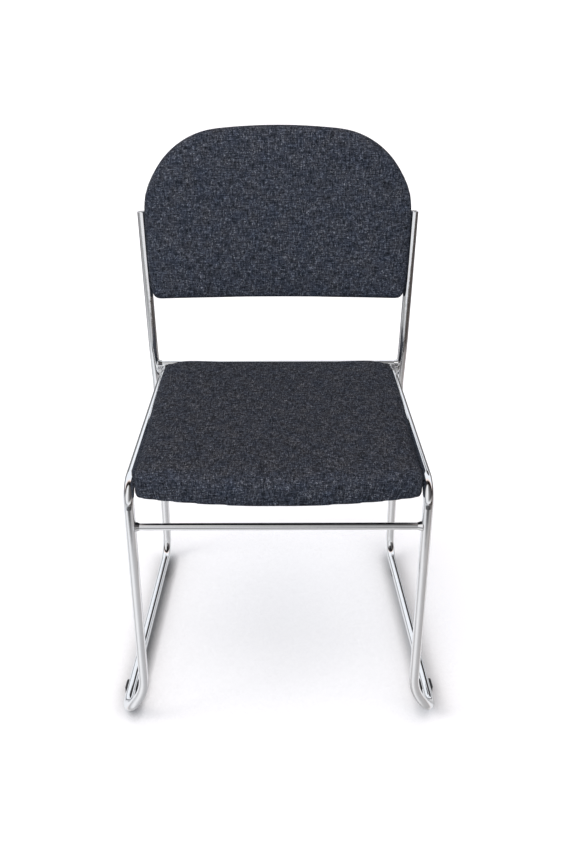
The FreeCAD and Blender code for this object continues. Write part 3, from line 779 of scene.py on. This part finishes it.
def floor_mirrored(nodes, x, y):
    """What the chrome shows of the floor, as a painted reflection: a glowing dim studio floor, brighter at
    the left, darker behind, at the far right, in a stretch in front of the chair, and close to a tube, where
    painted contact shade darkens it."""
    across = nodes.share(x, FLOOR_SPAN)
    depth = nodes.share(y, FLOOR_SPAN)
    over_depth = nodes.ramp(depth, [(0.516, grey(0.42)), (0.564, grey(0.34)), (0.62, grey(0.12))])
    in_front = nodes.ramp(depth, [(0.10, grey(0)), (0.18, grey(1)), (0.392, grey(1)), (0.415, grey(0))])
    in_middle = nodes.ramp(across, [(0.36, grey(0)), (0.41, grey(1)), (0.60, grey(1)), (0.66, grey(0))])
    over_depth = nodes.mix(nodes.math("MULTIPLY", in_front, in_middle), over_depth, grey(0.06))
    over_width = nodes.ramp(across, [
        (0.08, grey(0.60)),
        (0.25, (1.0, 1.02, 1.04)),
        (0.38, (1.2, 1.25, 1.3)),
        (0.49, (1.0, 1.0, 1.02)),
        (0.57, (0.9, 0.87, 0.86)),
        (0.63, (0.45, 0.41, 0.39)),
        (0.70, (0.10, 0.08, 0.07))])
    # painted contact shade in the reflected floor: the glow darkens where ambient occlusion finds a tube
    # close by
    near = nodes.add("AmbientOcclusion", {"Distance": 0.03}, samples=4).outputs["AO"]
    near = nodes.ramp(near, [(0.30, grey(0.15)), (0.85, grey(1.0))])
    # the floor glows here instead of being lit: its brightness by place is painted light
    glow = nodes.add("Emission", {"Color": nodes.multiply(over_depth, over_width, near)})
    gloss = nodes.ramp(depth, [
        (0.06, grey(0.20)),
        (0.14, grey(0.06)),
        (0.39, grey(0.06)),
        (0.425, grey(0.50)),
        (0.524, grey(0.50)),
        (0.564, grey(0.12))])
    sheen = nodes.add("BsdfGlossy", {"Color": gloss, "Roughness": SHEEN_ROUGHNESS})
    return nodes.sum_of_shaders(glow, sheen)


def make_floor():
    """White paper with painted shade for the camera, a dimmer glowing floor for the chrome, and little bounce
    for everything else.
    """
    bpy.ops.mesh.primitive_plane_add(size=1, location=(0, 0, 0))
    floor = bpy.context.object
    floor.name = "Floor"
    floor.scale = (40, 40, 1)
    made, nodes = material("Floor")
    place = nodes.add("NewGeometry").outputs["Position"]
    path = nodes.add("LightPath").outputs
    x, y, _ = nodes.add("SeparateXYZ", {0: place}).outputs
    shade = floor_shade(nodes, x)
    paper = nodes.ramp(noise(nodes, place, 90, 3), [(0.3, (0.89, 0.90, 0.92)), (0.7, (0.91, 0.92, 0.94))])
    # painted shade: the paper colour, and below it the lift, are darkened by the painted shadow and contact
    # shade
    paper = nodes.multiply(paper, shade)
    diffuse = nodes.add("BsdfDiffuse", {"Color": nodes.mix(path["Is Camera Ray"], grey(FLOOR_BOUNCE), paper)})
    lift = nodes.math("MULTIPLY", path["Is Camera Ray"], FLOOR_LIFT)
    lift = nodes.add("Emission", {"Color": shade, "Strength": lift})
    shader = nodes.add("MixShader", {
        0: path["Is Glossy Ray"], 1: nodes.sum_of_shaders(diffuse, lift), 2: floor_mirrored(nodes, x, y)})
    nodes.add("OutputMaterial", {"Surface": shader})
    floor.data.materials.append(made)


KEY_PLACE = Vector((-6.6, -1.8, 5.3))
KEY_TARGET = Vector((0, 0, 0.2))
KEY_SIZE = 3.6
KEY_POWER = 200
KEY_COLOUR = (1.0, 0.95, 0.90)


def make_key():
    """A large soft lamp at the left, which the chrome doesn't show."""
    data = bpy.data.lights.new("Key", "AREA")
    data.shape = "RECTANGLE"
    data.size = data.size_y = KEY_SIZE
    data.energy = KEY_POWER
    data.color = KEY_COLOUR
    lamp = bpy.data.objects.new("Key", data)
    lamp.location = KEY_PLACE
    lamp.rotation_euler = (KEY_TARGET - KEY_PLACE).to_track_quat("-Z", "Y").to_euler()
    lamp.visible_glossy = False
    bpy.context.scene.collection.objects.link(lamp)


def room_light(nodes, across, depth, height):
    """The light that falls on the chair: strongest from the front, cool there and warmer overhead."""
    by_height = nodes.ramp(nodes.share(height), [
        (0.50, (0.76, 0.86, 1.00)),
        (0.66, (0.95, 1.03, 1.16)),
        (0.80, (1.20, 1.20, 1.23)),
        (0.90, (0.74, 0.64, 0.57)),
        (1.0, (0.41, 0.31, 0.26))])
    by_depth = nodes.ramp(nodes.share(depth), [(0.0, grey(2.7)), (0.5, grey(0.95)), (1.0, grey(0.80))])
    by_side = nodes.ramp(nodes.share(across), [
        (0.0, grey(1.40)), (0.25, grey(1.06)), (0.75, grey(0.93)), (1.0, grey(0.40))])
    return nodes.multiply(by_height, by_depth, by_side)


FLAG_DIRECTION = (0.385, 0.756, 0.530)


def room_mirrored(nodes, direction, across, depth, height):
    """What the chrome reflects of the room. Low down it is bright in front, grey at the left, dark and
    brownish at the right, and grey behind. Higher up there are a softbox in front and one behind, with a
    dark stretch of ceiling and side wall between them, and a dark flag at the right of the one behind."""
    turn = nodes.math("ARCTAN2", across, nodes.math("MULTIPLY", depth, -1.0))
    round_about = nodes.share(turn, 0.5 / math.pi)
    walls = nodes.ramp(round_about, [
        (0.0, (0.20, 0.20, 0.21)),
        (0.08, (0.13, 0.13, 0.135)),
        (0.17, (0.12, 0.12, 0.125)),
        (0.26, (0.33, 0.34, 0.36)),
        (0.32, (0.38, 0.39, 0.41)),
        (0.38, (0.76, 0.78, 0.80)),
        (0.56, (0.84, 0.84, 0.85)),
        (0.61, (0.70, 0.69, 0.68)),
        (0.68, (0.38, 0.35, 0.34)),
        (0.73, (0.045, 0.033, 0.030)),
        (0.86, (0.055, 0.045, 0.042)),
        (0.92, (0.22, 0.21, 0.21)),
        (1.0, (0.20, 0.20, 0.21))])
    softbox = nodes.ramp(round_about, [
        (0.17, grey(0.25)),
        (0.28, grey(0.35)),
        (0.36, grey(0.85)),
        (0.40, grey(1.0)),
        (0.45, grey(0.78)),
        (0.52, grey(0.27)),
        (0.60, (0.08, 0.075, 0.075))])
    above = nodes.ramp(nodes.share(depth), [
        (0.37, grey(1.0)),
        (0.41, (0.05, 0.04, 0.04)),
        (0.53, (0.06, 0.05, 0.05)),
        (0.56, (0.95, 0.78, 0.70)),
        (0.64, (0.93, 0.96, 1.0))])
    is_front = nodes.math("LESS_THAN", depth, 0.0)
    above = nodes.mix(is_front, above, nodes.multiply(above, softbox))
    flag = nodes.add("VectorMath", {0: direction, 1: FLAG_DIRECTION}, operation="DOT_PRODUCT")
    flag = nodes.ramp(flag.outputs["Value"], [(0.960, grey(0)), (0.976, grey(1))])
    above = nodes.mix(flag, above, (0.05, 0.045, 0.045, 1))
    low = nodes.ramp(height, [(0.08, grey(1)), (0.24, grey(0))])
    return nodes.mix(low, above, walls)


def make_world():
    """White for the camera, a studio with a dark surround for reflections, and soft light for the rest."""
    world = bpy.data.worlds.new("World")
    bpy.context.scene.world = world
    world.use_nodes = True
    nodes = Nodes(world.node_tree)
    direction = nodes.add("TexCoord").outputs["Generated"]
    split = nodes.add("SeparateXYZ", {0: direction}).outputs
    path = nodes.add("LightPath").outputs
    light = room_light(nodes, *split)
    mirrored = room_mirrored(nodes, direction, *split)
    colour = nodes.mix(path["Is Glossy Ray"], light, mirrored)
    colour = nodes.mix(path["Is Camera Ray"], colour, grey(1.0))
    background = nodes.add("Background", {"Color": colour, "Strength": 1.0})
    nodes.add("OutputWorld", {"Surface": background})


def make_studio():
    make_world()
    make_floor()
    make_key()
    bpy.context.scene.view_settings.view_transform = "Standard"


make_camera()
finish_hard_parts()
cloth_material = upholstery()
make_seat(cloth_material)
make_back(cloth_material)
make_studio()
